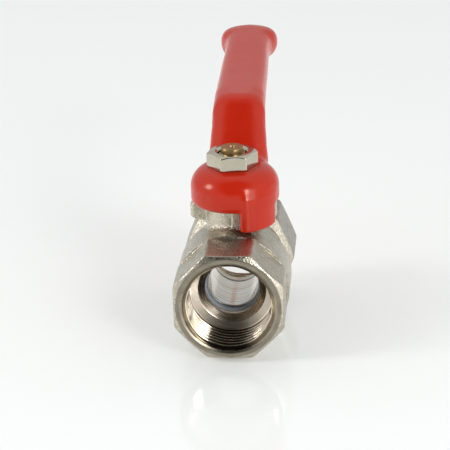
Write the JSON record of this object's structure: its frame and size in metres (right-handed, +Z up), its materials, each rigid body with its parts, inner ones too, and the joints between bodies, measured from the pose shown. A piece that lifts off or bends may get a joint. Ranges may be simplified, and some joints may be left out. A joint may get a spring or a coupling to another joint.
{
  "type": "ball valve",
  "caption": "Threaded ball valve with octagonal ends, a cast red lever on a cup-shaped hub and a quarter-turn stop.",
  "frame": {"origin": "centre of the ball, where the flow axis and the stem axis cross", "axes": "+Y along the flow from inlet to outlet, which is also the way the open lever points; +Z up the stem; +X to the right of someone who looks into the inlet"},
  "size_m": [0.0342, 0.1263, 0.0676],
  "materials": {
    "nickel_plating": "satin nickel plating over forged and turned brass",
    "ball_chrome": "hard chrome plating, polished",
    "ptfe": "smooth white fluoropolymer",
    "bare_brass": "turned, unplated",
    "seal_rubber": "smooth moulded",
    "red_paint": "semi-gloss red paint over a casting",
    "nut_plating": "bright nickel-plated steel"
  },
  "bodies": {
    "valve_body": {"body": "nickel_plating", "end_cap": "nickel_plating", "inlet_seat": "ptfe", "outlet_seat": "ptfe", "body_seal": "ptfe", "packing_ring_lower": "ptfe", "packing_ring_upper": "ptfe", "gland_nut": "bare_brass"},
    "lever": {"handle": "red_paint", "handle_nut": "nut_plating", "stem": "bare_brass", "stem_o_ring": "seal_rubber", "thrust_washer": "ptfe"},
    "ball": {"ball": "ball_chrome"}
  },
  "joints": [
    {"name": "lever_turn", "type": "hinge", "parent": "valve_body", "child": "lever", "pos_m": [0, 0, 0.02], "axis": [0, 0, 1], "range_deg": [-90, 0]},
    {"name": "ball_turn", "type": "hinge", "parent": "valve_body", "child": "ball", "pos_m": [0, 0, 0], "axis": [0, 0, 1], "range_deg": [-90, 0]}
  ],
  "couplings": [
    {"joint": "ball_turn", "follows": "lever_turn", "ratio": 1}
  ]
}
